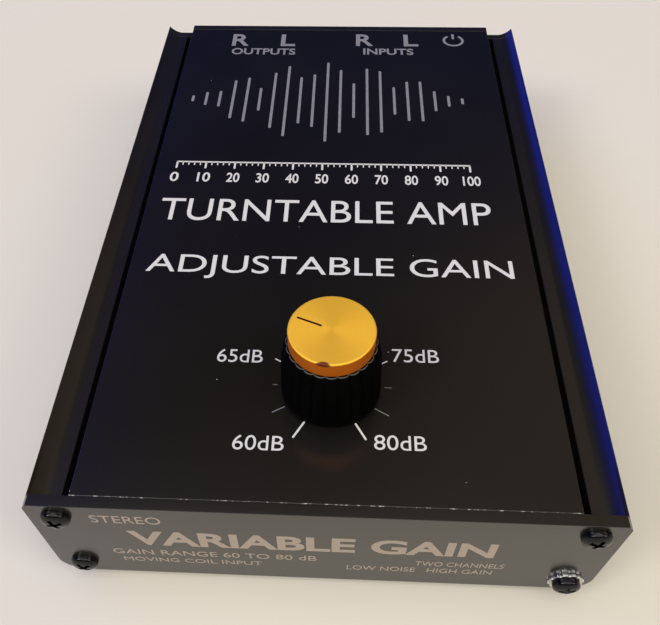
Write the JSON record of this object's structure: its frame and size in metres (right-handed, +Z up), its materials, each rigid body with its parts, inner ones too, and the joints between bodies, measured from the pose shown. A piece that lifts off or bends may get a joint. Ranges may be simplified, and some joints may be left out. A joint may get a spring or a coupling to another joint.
{
  "type": "phono preamp",
  "caption": "Flat desktop phono preamp in an extruded metal case with a fluted gain knob on top and phono, power and ground connections at the rear.",
  "frame": {"origin": "middle of the overall footprint, on the surface that the feet stand on", "axes": "+X to the right as seen from the knob's end, +Y to the rear where the sockets are, +Z up along the knob's axis"},
  "size_m": [0.108, 0.1802, 0.0504],
  "materials": {
    "black_anodised_case": "satin black anodised",
    "black_anodised_plate": "smooth black anodised",
    "black_steel": "glossy black zinc",
    "black_rubber": "matt",
    "black_knob_plastic": "moulded, semi-gloss",
    "gold_aluminium": "spun, gold anodised",
    "brass": "turned",
    "nickel": "nickel plated",
    "tinned_metal": "tin plated",
    "black_plastic": "moulded",
    "white_plastic": "moulded",
    "brown_laminate": "punched laminate",
    "green_board": "solder mask",
    "capacitor_sleeve": "shrink sleeve",
    "red_film": "moulded box",
    "resistor_blue": "lacquer",
    "gold_plate": "gold plated",
    "wire_white": "insulation",
    "wire_black": "insulation",
    "wire_red": "insulation",
    "wire_green": "insulation"
  },
  "bodies": {
    "case": {"amplifier_chips": "black_plastic", "case_body": "black_anodised_case", "chip_sockets": "black_plastic", "circuit_board": "green_board", "electrolytic_capacitors": "capacitor_sleeve", "film_capacitors": "red_film", "front_lock_washer": "nickel", "front_plate": "black_anodised_plate", "front_plate_screws": "black_steel", "ground_post": "gold_plate", "ground_post_inner_nut": "gold_plate", "ground_post_lug": "tinned_metal", "ground_post_outer_nut": "gold_plate", "ground_wire": "wire_green", "phono_socket_contacts": "gold_plate", "phono_socket_inner_washers": "black_plastic", "phono_socket_insulators": "white_plastic", "phono_socket_lugs": "tinned_metal", "phono_socket_nuts": "gold_plate", "phono_socket_outer_washers": "black_plastic", "phono_socket_shells": "gold_plate", "potentiometer_bushing": "nickel", "potentiometer_housing": "black_plastic", "potentiometer_lock_washer": "nickel", "potentiometer_nut": "nickel", "potentiometer_terminals": "tinned_metal", "potentiometer_wafers": "brown_laminate", "power_converter": "black_plastic", "power_socket": "black_plastic", "power_socket_lugs": "tinned_metal", "power_socket_nut": "nickel", "power_socket_pin": "nickel", "power_socket_spring": "nickel", "power_wires": "wire_red", "rear_plate": "black_anodised_plate", "rear_plate_screws": "black_steel", "resistors": "resistor_blue", "return_wires": "wire_black", "rubber_feet": "black_rubber", "signal_wires": "wire_white", "top_cover": "black_anodised_case"},
    "gain_knob": {"knob_body": "black_knob_plastic", "knob_cap": "gold_aluminium", "knob_bush": "brass", "knob_set_screw": "black_steel", "potentiometer_shaft": "nickel", "potentiometer_rotors": "white_plastic"},
    "clamp_washer": {"ground_clamp_washer": "gold_plate"},
    "thumb_nut": {"ground_thumb_nut": "gold_plate"}
  },
  "joints": [
    {"name": "gain_turn", "type": "hinge", "parent": "case", "child": "gain_knob", "pos_m": [0.0009, -0.05978, 0.0324], "axis": [0, 0, 1], "range_deg": [-218, 82]},
    {"name": "clamp_washer_slide", "type": "slide", "parent": "case", "child": "clamp_washer", "axis": [0, 1, 0], "range_m": [0, 0.0021]},
    {"name": "thumb_nut_turn", "type": "hinge", "parent": "clamp_washer", "child": "thumb_nut", "pos_m": [-0.0038, 0.07712, 0.0174], "axis": [0, 1, 0], "range_deg": [0, 1080]}
  ],
  "couplings": [
    {"joint": "thumb_nut_turn", "follows": "clamp_washer_slide", "rad_per_m": 8976}
  ]
}
